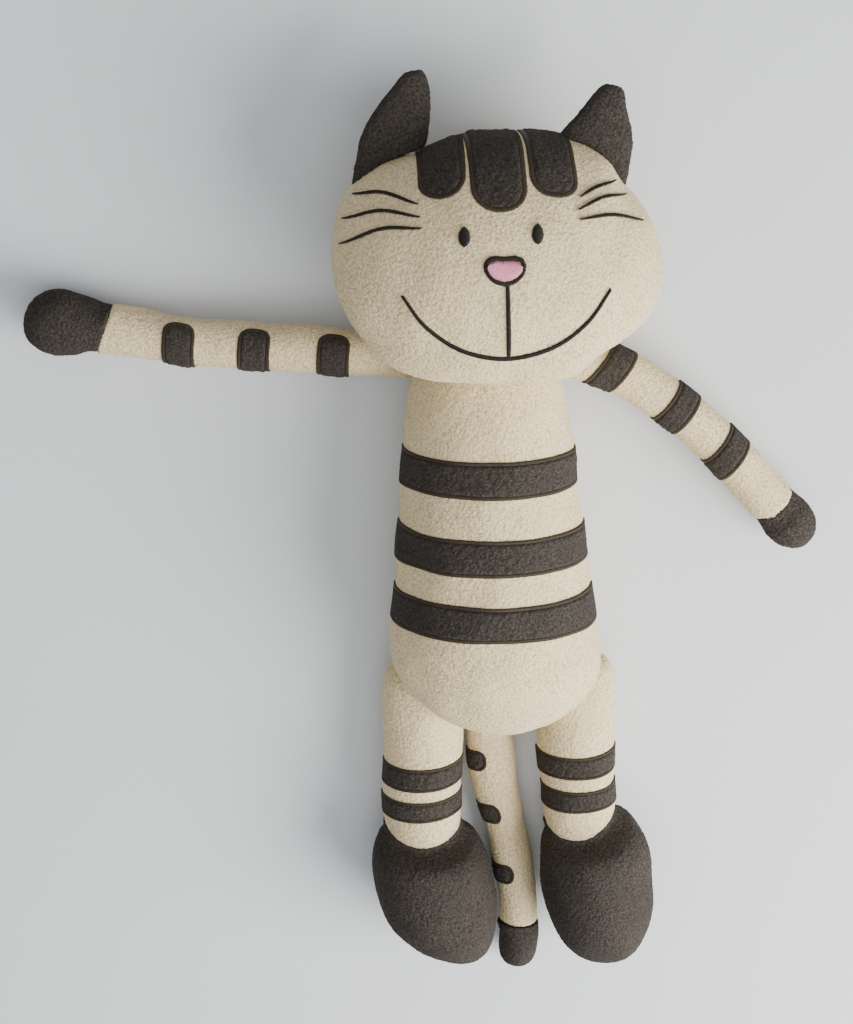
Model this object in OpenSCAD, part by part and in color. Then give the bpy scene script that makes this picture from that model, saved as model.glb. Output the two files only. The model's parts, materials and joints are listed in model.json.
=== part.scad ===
// Soft plush cat, lying on its back: +Z up from the floor, +Y towards the head, and left and
// right are as seen from the front, with +X to the right. The origin is on the flat patch of
// its back that rests on the floor.

/* [Body] */
// length of the torso from the belly's lower end to the top of the neck ball
torso_len = 167.5; // [140:0.5:200]
// half width of the torso at the hips
torso_half_w = 44; // [36:0.5:52]
// depth of the belly above the middle plane
belly_front = 38; // [30:0.5:46]
// thickness of the pile fabric
fabric = 1.4; // [0.8:0.1:2.5]
// gap between the fabric and the stuffing
loose = 0.6; // [0.3:0.05:1]
// thickness of a sewn-on patch
patch_t = 1; // [0.8:0.1:2]
// width of a chest band
chest_band_w = 14.5; // [10:0.5:20]

/* [Head] */
// half width of the head
head_half_w = 63.5; // [50:0.5:76]
// length of the head from chin to crown
head_len = 96.5; // [80:0.5:115]
// depth of the face above the middle plane
head_front = 41; // [32:0.5:50]
// radius of an embroidered line
thread_r = 1; // [0.6:0.1:1.6]

/* [Limbs] */
// radius of the arm at the shoulder
arm_r = 9.6; // [8:0.1:12]
// radius of the leg at the hip
leg_r = 15.9; // [13:0.1:19]
// radius of the tail
tail_r = 8.8; // [7:0.1:11]
// gap kept between a limb's round end and its seat
seat_gap = 0.8; // [0.4:0.1:1.2]

/* [Hidden] */

beige = [0.82, 0.77, 0.68];
dark = [0.29, 0.26, 0.24];
black = [0.1, 0.09, 0.09];
pink = [0.93, 0.68, 0.75];
white = [0.95, 0.95, 0.95];
// extra room between the stuffing and a seat
seat_room = 7;
skin_gap = 0.12;
limb_gap = 0.32;
// facets round the torso's half, an arm and a leg
torso_n = 15;
arm_n = 15;
leg_n = 17;
half_seam = 0.35;

// pivots of the joints, which are also the centres of the round limb ends
neck_pivot = [-2.7, 48, 31];
neck_r = 28.5;
shoulder_left = [-36, 61.8, 21.5];
shoulder_right = [32.5, 61, 21.5];
wrist_left = [-155, 71.8, 14.6];
wrist_right = [112.6, 0.9, 14.5];
hip_left = [-26.8, -84, 19];
hip_right = [36, -81, 18.5];
ankle_left = [-27.6, -135, 22.5];
ankle_right = [38.6, -133, 22.5];
tail_pivot = [0.5, -95, 10.5];
paw_r = 10.2;
ankle_r = 15;
mouth_plane = 6;

// ---- curves through stations ----

// smooth value between b and c, with a and d as their neighbours
function blend4(a, b, c, d, t) =
    (2 * b + (c - a) * t + (2 * a - 5 * b + 4 * c - d) * t * t
        + (3 * b - a - 3 * c + d) * t * t * t) / 2;

// value at position u along a list of evenly spaced stations
function along(s, u) =
    let (last = len(s) - 1, i = max(0, min(floor(u), last - 1)))
    blend4(s[max(i - 1, 0)], s[i], s[i + 1], s[min(i + 2, last)], u - i);

function unit(v) = v / norm(v);
function flat(lists) = [for (l = lists) each l];
function reversed(l) = [for (i = [len(l) - 1:-1:0]) l[i]];

// ---- soft bodies ----
// A body is [stations, length, start cap, end cap, cap power, seats, level]. The rings of a
// level body all stand square to +Y; other bodies' rings stand square to their own path.
// A station is [x, y, z, half width, height above, depth below].
// A seat is [centre, radius, squeeze in x, direction], a round hollow pressed into the body.

// how far the end cap has grown at distance d from the end, 0 to 1
function cap_size(d, c, k) =
    c <= 0 || d >= c ? 1 : pow(max(0, 1 - pow(1 - max(d, 0) / c, k)), 1 / k);

// one point moved out of one seat
function pressed(p, seat, g) =
    let (
        sx = seat[2],
        r = seat[1] + g,
        q = [(p.x - seat[0].x) * sx, p.y - seat[0].y, p.z - seat[0].z],
        v = [seat[3].x * sx, seat[3].y, seat[3].z],
        b = q * v,
        a = v * v,
        under = r * r - q * q
    )
    under <= 0 ? p : p + seat[3] * (sqrt(b * b + a * under) - b) / a;

function seated(p, seats, g, i = 0) =
    i >= len(seats) ? p : seated(pressed(p, seats[i], g), seats, g, i + 1);

// a ring of points round a body at distance l, shrunk by o, at the angles given
function ring(body, l, o, angles, room = 0) =
    let (
        s = body[0],
        n = len(s) - 1,
        u = l / body[1] * n,
        p = along(s, u),
        ahead = along(s, min(n, u + 0.05)),
        behind = along(s, max(0, u - 0.05)),
        t = body[6] ? [0, 1, 0]
            : unit([ahead[0] - behind[0], ahead[1] - behind[1], ahead[2] - behind[2]]),
        side = unit(cross(t, [0, 0, 1])),
        up = cross(side, t),
        k = body[4],
        m = cap_size(l - o, body[2] - o, k) * cap_size(body[1] - l - o, body[3] - o, k)
    )
    [for (a = angles)
        let (
            c = cos(a),
            z = sin(a),
            q = [p[0], p[1], p[2]] + side * c * (p[3] - o) * m
                + up * z * ((z > 0 ? p[4] : p[5]) - o) * m,
            r = seated(q, body[5], seat_gap + o + room)
        )
        [r.x, r.y, max(r.z, max(o, 0))]];

// distances along a whole body, close together in its round ends
function levels(body, o, ends, middle) =
    let (
        a = max(0, body[2] - o),
        b = max(0, body[3] - o),
        first = body[2] > 0 ? o + a : 0,
        last = body[1] - (body[3] > 0 ? o + b : 0),
        tiny = 0.006
    )
    concat(
        a > 0 ? [for (i = [0:ends - 1]) o + a * max(tiny, 1 - cos(90 * i / ends))] : [],
        [for (i = [0:middle]) first + (last - first) * i / middle],
        b > 0 ? [for (i = [ends - 1:-1:0]) body[1] - o - b * max(tiny, 1 - cos(90 * i / ends))] : []);

// the distances that lie between two cuts, and the cuts themselves
function between(all, from, to) =
    concat([from], [for (l = all) if (l > from + 0.6 && l < to - 0.6) l], [to]);

function full_turn(n) = [for (i = [0:n - 1]) 360 * i / n];
function arc(a, b, n) = [for (i = [0:n]) a + (b - a) * i / n];

// ---- closed solids from rings ----

function side_faces(rings, n, closed) =
    [for (k = [0:rings - (closed ? 1 : 2)], i = [0:n - 1])
        let (j = (i + 1) % n, a = k * n, b = ((k + 1) % rings) * n)
        each [[a + i, a + j, b + j], [a + i, b + j, b + i]]];

// a solid whose first and last ring are closed by a fan
module capped(rings) {
    n = len(rings[0]);
    count = len(rings);
    middle_of = function (r) [for (k = [0:2]) [for (p = r) p[k]] * [for (p = r) 1 / n]];
    polyhedron(
        points = concat(flat(rings), [middle_of(rings[0]), middle_of(rings[count - 1])]),
        faces = concat(
            side_faces(count, n, false),
            [for (i = [0:n - 1]) [count * n, (i + 1) % n, i]],
            [for (i = [0:n - 1]) [count * n + 1, (count - 1) * n + i,
                (count - 1) * n + (i + 1) % n]]));
}

// a tube-like solid: the last ring joins the first again
module looped(rings) {
    polyhedron(
        points = flat(rings),
        faces = side_faces(len(rings), len(rings[0]), true));
}

// a sheet with a C-shaped section: each ring is an outer arc and the inner arc back
module sheet_solid(rings) {
    n = len(rings[0]);
    half = n / 2;
    e = (len(rings) - 1) * n;
    polyhedron(
        points = flat(rings),
        faces = concat(
            side_faces(len(rings), n, false),
            [for (i = [0:half - 2]) each [
                [i, n - 1 - i, i + 1], [i + 1, n - 1 - i, n - 2 - i],
                [e + i + 1, e + n - 1 - i, e + i], [e + n - 2 - i, e + n - 1 - i, e + i + 1]]]));
}

// the stuffing of a whole body
module core(body, n, ends, middle) {
    o = fabric + loose;
    capped([for (l = levels(body, o, ends, middle)) ring(body, l, o, full_turn(n), seat_room)]);
}

// a fabric cover cut open at distance cut, closed over the other end
module cup(body, cut, open_at_start, n, ends, middle) {
    outer = levels(body, 0, ends, middle);
    inner = levels(body, fabric, ends, middle);
    lo = open_at_start ? cut : outer[0];
    hi = open_at_start ? outer[len(outer) - 1] : cut;
    lo_in = open_at_start ? cut : inner[0];
    hi_in = open_at_start ? inner[len(inner) - 1] : cut;
    skin = [for (l = between(outer, lo, hi)) ring(body, l, 0, full_turn(n))];
    lining = [for (l = between(inner, lo_in, hi_in)) ring(body, l, fabric, full_turn(n))];
    capped(open_at_start ? concat(reversed(lining), skin) : concat(skin, reversed(lining)));
}

// a fabric panel that covers a body from angle a to angle b
module panel(body, a, b, n, ends, middle) {
    outer = levels(body, 0, ends, middle);
    inner = levels(body, fabric, ends, middle);
    sheet_solid([for (i = [0:len(outer) - 1])
        concat(ring(body, outer[i], 0, arc(a, b, n)),
            reversed(ring(body, inner[i], fabric, arc(a, b, n))))]);
}

// a sewn-on patch between two distances; its half angle is a function of 0 to 1 along it
module patch(body, from, to, centre, half_angle, n, steps, gap = skin_gap) {
    low = -gap;
    sheet_solid([for (i = [0:steps])
        let (
            v = i / steps,
            l = from + (to - from) * v,
            h = half_angle(v),
            angles = arc(centre - h, centre + h, n)
        )
        concat(ring(body, l, low - patch_t, angles), reversed(ring(body, l, low, angles)))]);
}

// a thread that lies along a list of points
module thread(points, r, sides = 5) {
    count = len(points);
    capped([for (i = [0:count - 1])
        let (
            t = unit(points[min(i + 1, count - 1)] - points[max(i - 1, 0)]),
            side = unit(cross(t, [0, 0.02, 1])),
            up = cross(side, t),
            taper = i == 0 || i == count - 1 ? 0.45 : 1
        )
        [for (a = full_turn(sides)) points[i] + (side * cos(a) + up * sin(a)) * r * taper]]);
}

// ---- the bodies ----

torso = [[
    [4.6, -91, 36, torso_half_w, belly_front - 4, 36],
    [2.6, -67.07, 34.5, torso_half_w, belly_front - 1, 36],
    [0.8, -43.14, 33.5, torso_half_w - 2.3, belly_front, 35.5],
    [-0.3, -19.21, 32.5, torso_half_w - 5, belly_front - 1, 34.5],
    [-1.3, 4.71, 32, torso_half_w - 7.7, belly_front - 3.5, 34],
    [-2, 28.64, 31.5, torso_half_w - 10.4, belly_front - 7, 32.5],
    [-2.7, 52.57, 31, torso_half_w - 12, neck_r, neck_r],
    [-2.7, 76.5, 31, torso_half_w - 12, neck_r, neck_r]],
    torso_len, 42, neck_r, 2,
    [[hip_left, leg_r + 2.4, 1, [0, 1, 0]], [hip_right, leg_r + 3, 1, [0, 1, 0]],
     [shoulder_left, arm_r + 1.6, 1, [1, 0, 0]], [shoulder_right, arm_r + 1.4, 1, [-1, 0, 0]],
     [tail_pivot, tail_r + 0.6, 1, [0, 1, 0]]], true];

head_start = 57;
head = [[
    [1.5, head_start, 57, head_half_w, head_front - 12, 36],
    [1, 81.1, 51, head_half_w, head_front - 5, 43],
    [0.5, 105.2, 45, head_half_w, head_front, 46],
    [0, 129.4, 43, head_half_w - 2.5, head_front - 2, 44],
    [0, 153.5, 42, head_half_w - 6.5, head_front - 5, 40]],
    head_len, 47, 47, 2.3,
    [[neck_pivot, neck_r + 1.8, neck_r / (torso_half_w - 12), [0, 1, 0]]], true];

arm_left = [[
    [shoulder_left.x + arm_r, 61.2, 21.5, arm_r, arm_r, arm_r],
    [-56.4, 63.2, 20.3, arm_r, arm_r, arm_r],
    [-87.3, 64.6, 17.5, arm_r + 0.7, arm_r + 0.6, arm_r + 0.6],
    [-118.2, 66.4, 15.3, arm_r + 0.1, arm_r + 0.4, arm_r + 0.4],
    [wrist_left.x + mouth_plane, 70.9, 14.6, arm_r + 1.2, arm_r + 0.9, arm_r + 0.9]],
    123, arm_r, 0, 2, [], false];

paw_left = [[
    [wrist_left.x + paw_r, 70.4, 14.6, paw_r - 0.5, paw_r - 0.7, paw_r - 0.7],
    [-158.7, 72.3, 14.8, paw_r + 1.6, paw_r + 0.8, paw_r + 0.8],
    [-172.5, 74.2, 15.2, paw_r + 3.8, paw_r + 1.8, paw_r + 1.8],
    [-186.3, 76, 15.6, paw_r + 3, paw_r + 1.4, paw_r + 1.4]],
    41.6, paw_r, 14, 2, [], false];

arm_right = [[
    [23.2, 63.4, 21.5, arm_r, arm_r, arm_r],
    [48.2, 57.4, 21.5, arm_r, arm_r, arm_r],
    [70.8, 42.7, 19.5, arm_r, arm_r, arm_r],
    [91, 25.1, 17, arm_r + 0.1, arm_r + 0.1, arm_r + 0.1],
    [108.5, 5.2, 14.5, arm_r + 0.5, arm_r + 0.5, arm_r + 0.5]],
    107.2, arm_r, 0, 2, [], false];

paw_right = [[
    [105.7, 8, 14.5, paw_r - 1.3, paw_r - 1.3, paw_r - 1.3],
    [113.2, 0.3, 14.3, paw_r - 0.4, paw_r - 0.4, paw_r - 0.4],
    [121, -7.8, 14, paw_r + 0.7, paw_r + 0.5, paw_r + 0.5],
    [129, -16, 13.5, paw_r, paw_r - 0.2, paw_r - 0.2]],
    33.4, paw_r - 0.4, 11, 2, [], false];

function leg_body(hip, ankle) =
    let (top = hip.y + leg_r, low = ankle.y - ankle_r, step = (top - low) / 4)
    [[for (i = [0:4])
        let (v = i / 4, r = leg_r + (ankle_r - leg_r) * v)
        [hip.x + (ankle.x - hip.x) * v, top - step * i, hip.z + (ankle.z - hip.z) * v, r, r, r]],
    top - low, leg_r, ankle_r, 2, [], false];

leg_left = leg_body(hip_left, ankle_left);
leg_right = leg_body(hip_right, ankle_right);

foot_left = [[
    [-27.6, -138, 23, 22, 24, 22.5],
    [-25, -158.8, 25, 25.4, 26, 25.3],
    [-17.8, -179.6, 25, 24.6, 25, 25.3],
    [-8.5, -200, 23, 19, 21, 23]],
    64, 15, 27, 2.1, [[ankle_left, ankle_r + 1.8, 1, [0, -1, 0]]], false];

foot_right = [[
    [40.5, -136, 23, 21.5, 24, 22.5],
    [45, -158.3, 25, 24, 26, 25.3],
    [48.6, -179.5, 25, 23.3, 25, 25.3],
    [52, -200.5, 23, 19, 21, 23]],
    66, 15, 27, 2.1, [[ankle_right, ankle_r + 1.8, 1, [0, -1, 0]]], false];

tail = [[
    [0, -95 + tail_r, 10.5, tail_r, tail_r, tail_r],
    [2.5, -112, 10, tail_r + 0.2, tail_r, tail_r],
    [6.5, -137.5, 9.3, tail_r, tail_r, tail_r],
    [11.3, -163, 9.3, tail_r, tail_r, tail_r],
    [13.8, -188.4, 9.4, tail_r + 0.2, tail_r, tail_r]],
    103.8, tail_r, 0, 2, [], false];

tail_tip = [[
    [13.85, -189.5, 9.4, tail_r + 0.2, tail_r, tail_r],
    [13.5, -200.5, 9.5, tail_r + 0.2, tail_r, tail_r],
    [12.5, -211.5, 9.5, tail_r + 0.2, tail_r, tail_r]],
    22, 0, 9.5, 2, [], false];

// ---- the face ----

// height of the face's surface at a place seen from the front
function face_z(x, y) =
    let (
        l = y - head_start,
        p = along(head[0], l / head_len * 4),
        m = cap_size(l, head[2], head[4]) * cap_size(head_len - l, head[3], head[4]),
        c = min(0.98, abs(x - p[0]) / (p[3] * m))
    )
    p[2] + p[4] * m * sqrt(1 - c * c);

function on_face(x, y, lift) = [x, y, face_z(x, y) + lift];
// points on the face along a smooth curve through a few places
function face_curve(places, steps, lift) =
    [for (i = [0:steps])
        let (p = along(places, i * (len(places) - 1) / steps)) on_face(p.x, p.y, lift)];

thread_lift = thread_r + 2 * skin_gap;
nose_at = [1.6, 107.2];
nose_half = [6.8, 4.4];
// the nose is a rounded triangle, wide at the top
function nose_edge(a, grow) =
    let (s = sin(a), w = s < 0 ? 1 - 0.45 * pow(-s, 2) : 1)
    [nose_at.x + cos(a) * (nose_half.x * w + grow), nose_at.y + s * (nose_half.y + grow)];

// ---- torso ----

module torso_front_panel() color(beige) panel(torso, half_seam, 180 - half_seam, torso_n, 5, 10);
module torso_back_panel() color(beige) panel(torso, 180 + half_seam, 360 - half_seam, torso_n, 5, 10);
module torso_stuffing() color(white) core(torso, 22, 4, 9);

// a band round the front of the torso, its middle at height y
module chest_band(y) color(dark) {
    from = y + 91 - chest_band_w / 2;
    patch(torso, from, from + chest_band_w, 90, function (v) 90 - half_seam, torso_n, 4);
}
module chest_band_upper() chest_band(21.4);
module chest_band_middle() chest_band(-8.6);
module chest_band_lower() chest_band(-34.6);

// hand stitches that close the filling hole in the side seam
module closing_seam_thread() color(beige) {
    for (i = [0:4]) {
        l = 24 + i * 4.6;
        ends = [ring(torso, l, -1.1, [-4])[0], ring(torso, l + 1.3, -1.6, [0])[0],
            ring(torso, l + 2.6, -1.1, [4])[0]];
        thread(ends, 0.5);
    }
}

// ---- head ----

module head_front_panel() color(beige) panel(head, half_seam, 180 - half_seam, 16, 6, 2);
module head_back_panel() color(beige) panel(head, 180 + half_seam, 360 - half_seam, 16, 6, 2);
module head_stuffing() color(white) core(head, 22, 5, 2);

// a forehead patch from its round lower end up over the crown
module forehead_patch(low, high, centre, half) color(dark) {
    patch(head, low - head_start, high - head_start, centre,
        function (v) half * sqrt(max(0.03, 1 - pow(1 - min(1, v * 3.2), 2))), 6, 8);
}
module forehead_patch_left() forehead_patch(128.5, 150.5, 115.5, 12);
module forehead_patch_middle() forehead_patch(123, 151.5, 91.5, 10.8);
module forehead_patch_right() forehead_patch(128.5, 151, 67, 11.5);

module nose_pad() color(pink) {
    rim = reversed(full_turn(16));
    height = function (g) [for (a = rim) let (e = nose_edge(a, -1.2 - 4 * g))
        on_face(e.x, e.y, skin_gap + 1.4 * sqrt(g))];
    capped(concat([[for (a = rim) let (e = nose_edge(a, -1.2)) on_face(e.x, e.y, skin_gap)]],
        [for (g = [0.08, 0.3, 0.6]) height(g)]));
}
module nose_outline() color(black) {
    r = thread_r * 0.9;
    count = 20;
    looped([for (i = [0:count - 1])
        let (a = 360 * i / count, e = nose_edge(a, 0), c = on_face(e.x, e.y, r + skin_gap))
        [for (b = full_turn(6)) c + [cos(a) * cos(b), sin(a) * cos(b), sin(b)] * r]]);
}
module philtrum_thread() color(black)
    thread(face_curve([[1.6, 100.6], [2.2, 91], [2.8, 82], [3.2, 75.6]], 8, thread_lift), thread_r);
module mouth_thread() color(black)
    thread(face_curve([[-35, 96], [-26, 84.5], [-13, 76], [3, 73], [19, 76.5], [32, 85.5],
        [41, 98]], 26, thread_lift), thread_r);

module eye(x, y) color(black) {
    rim = reversed(full_turn(12));
    capped([for (g = [[1, 0], [0.95, 0.7], [0.6, 1.2], [0.2, 1.4]])
        [for (a = rim) on_face(x + 2.3 * g[0] * cos(a), y + 3.4 * g[0] * sin(a), skin_gap + g[1])]]);
}
module eye_left() eye(-12.5, 118);
module eye_right() eye(14, 119);

// three whiskers: each a pair of end places
module whiskers(rows) color(black) {
    for (w = rows)
        thread(face_curve([w[0], (w[0] + w[1]) / 2 + [0, w[2]], w[1]], 6, thread_lift),
            thread_r * 0.9);
}
module whiskers_left() whiskers([[[-30.5, 128], [-47, 133], 0.8], [[-29, 122.8], [-51, 125], 0.8],
    [[-28.6, 117.4], [-52, 115], 0.8]]);
module whiskers_right() whiskers([[[30.9, 130], [44, 135.5], 0.8], [[30.2, 125], [49, 129.5], 0.8],
    [[31.1, 120.4], [52, 119.5], 0.8]]);

// ---- ears ----
// An ear's outline is a list of rows from base to tip: [outer x, outer y, inner x, inner y, half thickness].
ear_left_rows = [[-58, 131.2, -27, 151.4, 2.6], [-54.6, 142, -23.6, 156, 4.2],
    [-48.5, 155, -23.5, 164, 3.8], [-40.5, 167, -24.8, 170.5, 3.2], [-34.5, 173.4, -27, 174, 2.2]];
ear_right_rows = [[24.2, 153.8, 52.6, 133.8, 2.6], [26.8, 159.5, 52.4, 143, 4.2],
    [31.3, 164.8, 51.2, 153, 3.8], [35.5, 168.2, 48, 161.5, 3.2], [38.5, 169.6, 44, 167.2, 2.2]];
ear_z = 43;
ear_sag = 3.2;

// one fabric layer of an ear, on its front (1) or its back (-1)
module ear_layer(rows, face) color(dark) {
    across = [for (i = [0:8]) -cos(22.5 * i)];
    steps = 6;
    sheet_solid([for (k = [0:steps])
        let (
            v = k / steps,
            r = along(rows, v * 4),
            a = [r[0], r[1], ear_z],
            b = [r[2], r[3], ear_z],
            lean = unit([-(b.y - a.y), b.x - a.x, 0]) * ear_sag * (1 - v),
            thick = function (s) 0.5 + (r[4] - 0.5) * sqrt(max(0, 1 - s * s)),
            at = function (s, h) (a + b) / 2 + (b - a) / 2 * s + lean * (1 - s * s) + [0, 0, h],
            outer = [for (s = across) at(s, face * (thick(s) + 0.1))],
            inner = [for (s = across) at(s, face * 0.1)]
        )
        face > 0 ? concat(reversed(outer), inner) : concat(outer, reversed(inner))]);
}
module ear_left_front() ear_layer(ear_left_rows, 1);
module ear_left_back() ear_layer(ear_left_rows, -1);
module ear_right_front() ear_layer(ear_right_rows, 1);
module ear_right_back() ear_layer(ear_right_rows, -1);

// ---- arms and paws ----

// the stuffing of an arm stops short of the paw's round end
module arm_core(body) color(white) {
    o = fabric + loose;
    stop = body[1] - 7;
    capped([for (l = between(levels(body, o, 3, 6), o + 0.05, stop)) ring(body, l, o, full_turn(12))]);
}
// three patches, with a round end on the side of the arm that faces the head
module arm_patches(body, places, centre) color(dark) {
    for (p = places)
        patch(body, p - 5.6, p + 5.6, centre,
            function (v) 78 * (0.72 + 0.28 * sqrt(max(0, 1 - pow(2 * v - 1, 2)))), 8, 4, limb_gap);
}
hole = 3;

module arm_left_sleeve() color(beige) cup(arm_left, arm_left[1], false, arm_n, 3, 7);
module arm_left_stuffing() arm_core(arm_left);
module arm_left_patches() arm_patches(arm_left, [36.5, 67.8, 97], 84);
module paw_left_cover() color(dark) cup(paw_left, hole, true, arm_n, 4, 2);
module paw_left_stuffing() color(white) core(paw_left, 12, 3, 2);
module arm_right_sleeve() color(beige) cup(arm_right, arm_right[1], false, arm_n, 3, 7);
module arm_right_stuffing() arm_core(arm_right);
module arm_right_patches() arm_patches(arm_right, [26.5, 56.5, 84], 90);
module paw_right_cover() color(dark) cup(paw_right, hole, true, arm_n, 4, 2);
module paw_right_stuffing() color(white) core(paw_right, 12, 3, 2);

// ---- legs and feet ----

// a band over the front and sides of a leg
module leg_band(body, from, width) color(dark)
    patch(body, from, from + width, 90, function (v) 92, 11, 2, limb_gap);

// the foot's cover wraps round from a seam underneath
module foot_cover(body) color(dark) panel(body, -89.4, 269.4, 22, 4, 3);

module leg_left_sleeve() color(beige) cup(leg_left, leg_left[1] - hole, false, leg_n, 4, 4);
module leg_left_stuffing() color(white) core(leg_left, 14, 3, 4);
module leg_left_band_upper() leg_band(leg_left, 41, 9.4);
module leg_left_band_lower() leg_band(leg_left, 55.7, 8.1);
module foot_left_cover() foot_cover(foot_left);
module foot_left_stuffing() color(white) core(foot_left, 18, 4, 3);
module leg_right_sleeve() color(beige) cup(leg_right, leg_right[1] - hole, false, leg_n, 4, 4);
module leg_right_stuffing() color(white) core(leg_right, 14, 3, 4);
module leg_right_band_upper() leg_band(leg_right, 39.2, 8.8);
module leg_right_band_lower() leg_band(leg_right, 54.3, 8.5);
module foot_right_cover() foot_cover(foot_right);
module foot_right_stuffing() color(white) core(foot_right, 18, 4, 3);

// ---- tail ----

module tail_sleeve() color(beige) cup(tail, tail[1], false, arm_n, 3, 6);
module tail_stuffing() color(white) {
    o = fabric + loose;
    capped([for (l = between(levels(tail, o, 3, 5), o + 0.05, tail[1] - 0.5))
        ring(tail, l, o, full_turn(12))]);
}
module tail_spots() color(dark) {
    for (p = [26, 50.5, 79])
        patch(tail, p - 5, p + 5, 42,
            function (v) 46 * (0.3 + 0.7 * sqrt(max(0, 1 - pow(2 * v - 1, 2)))), 5, 4, limb_gap);
}
module tail_tip_cover() color(dark) cup(tail_tip, 0, true, arm_n, 4, 2);
module tail_tip_stuffing() color(white) {
    o = fabric + loose;
    all = levels(tail_tip, o, 3, 2);
    capped([for (l = between(all, 0.5, all[len(all) - 1])) ring(tail_tip, l, o, full_turn(12))]);
}

torso_front_panel();
torso_back_panel();
torso_stuffing();
chest_band_upper();
chest_band_middle();
chest_band_lower();
closing_seam_thread();
head_front_panel();
head_back_panel();
head_stuffing();
forehead_patch_left();
forehead_patch_middle();
forehead_patch_right();
nose_pad();
nose_outline();
philtrum_thread();
mouth_thread();
eye_left();
eye_right();
whiskers_left();
whiskers_right();
ear_left_front();
ear_left_back();
ear_right_front();
ear_right_back();
arm_left_sleeve();
arm_left_stuffing();
arm_left_patches();
paw_left_cover();
paw_left_stuffing();
arm_right_sleeve();
arm_right_stuffing();
arm_right_patches();
paw_right_cover();
paw_right_stuffing();
leg_left_sleeve();
leg_left_stuffing();
leg_left_band_upper();
leg_left_band_lower();
foot_left_cover();
foot_left_stuffing();
leg_right_sleeve();
leg_right_stuffing();
leg_right_band_upper();
leg_right_band_lower();
foot_right_cover();
foot_right_stuffing();
tail_sleeve();
tail_stuffing();
tail_spots();
tail_tip_cover();
tail_tip_stuffing();
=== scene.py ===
import json
import math
from collections import namedtuple

import bpy
import bmesh
import numpy as np
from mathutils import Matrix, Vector
from mathutils.bvhtree import BVHTree


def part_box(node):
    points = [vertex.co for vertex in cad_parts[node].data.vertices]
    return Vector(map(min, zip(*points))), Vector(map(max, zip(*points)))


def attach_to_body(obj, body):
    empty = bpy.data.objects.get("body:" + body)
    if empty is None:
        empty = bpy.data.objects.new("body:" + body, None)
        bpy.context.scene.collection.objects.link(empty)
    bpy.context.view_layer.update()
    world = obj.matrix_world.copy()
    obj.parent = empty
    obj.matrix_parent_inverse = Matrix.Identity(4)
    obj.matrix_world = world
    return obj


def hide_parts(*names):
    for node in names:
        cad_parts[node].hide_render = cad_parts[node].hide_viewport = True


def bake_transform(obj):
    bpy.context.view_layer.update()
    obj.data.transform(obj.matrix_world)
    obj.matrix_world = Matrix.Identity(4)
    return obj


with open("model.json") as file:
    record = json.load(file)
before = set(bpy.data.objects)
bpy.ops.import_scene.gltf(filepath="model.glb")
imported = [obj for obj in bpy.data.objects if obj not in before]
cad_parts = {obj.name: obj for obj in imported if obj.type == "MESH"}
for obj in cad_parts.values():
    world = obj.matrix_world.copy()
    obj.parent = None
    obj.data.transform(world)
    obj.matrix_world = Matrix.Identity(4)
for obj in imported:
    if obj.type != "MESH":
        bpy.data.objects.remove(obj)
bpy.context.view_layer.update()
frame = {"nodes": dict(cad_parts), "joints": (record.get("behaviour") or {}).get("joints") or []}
JOINTS = {j["name"]: j for j in frame["joints"]}
MM = 0.001
SAME_POINT = 1e-6    # CAD vertices closer than this are one
SCENE = bpy.context.scene


# ---------------------------------------------------------------- camera, light, floor

def make_camera():
    data = bpy.data.cameras.new("photo_camera")
    data.lens = 74.7
    data.sensor_width = 36
    data.clip_start = 0.01
    cam = bpy.data.objects.new("photo_camera", data)
    cam.location = (-0.0262, 0.2343, 0.8471)
    cam.rotation_euler = (math.radians(-16), 0, 0)
    SCENE.collection.objects.link(cam)
    SCENE.camera = cam


def area_light(name, location, target, size, watts, colour):
    data = bpy.data.lights.new(name, "AREA")
    data.shape = "DISK"
    data.size = size
    data.energy = watts
    data.color = colour
    lamp = bpy.data.objects.new(name, data)
    lamp.location = location
    aim = Vector(target) - Vector(location)
    lamp.rotation_euler = aim.to_track_quat("-Z", "Y").to_euler()
    SCENE.collection.objects.link(lamp)


def make_light():
    area_light("window", (0.74, -0.38, 0.54), target=(-0.02, 0.0, 0.02), size=0.95, watts=29,
               colour=(1, 0.985, 0.96))
    area_light("overhead", (0.05, -0.1, 1.5), target=(0, 0, 0), size=1.5, watts=10.5,
               colour=(0.985, 0.99, 1))
    world = bpy.data.worlds.new("studio")
    world.use_nodes = True
    back = world.node_tree.nodes["Background"]
    back.inputs["Color"].default_value = (0.93, 0.955, 0.98, 1)
    back.inputs["Strength"].default_value = 0.46
    SCENE.world = world


# ---------------------------------------------------------------- materials

def srgb(r, g, b):
    def one(c):
        c = c / 255
        return c / 12.92 if c <= 0.04045 else ((c + 0.055) / 1.055) ** 2.4
    return (one(r), one(g), one(b), 1)


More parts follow.
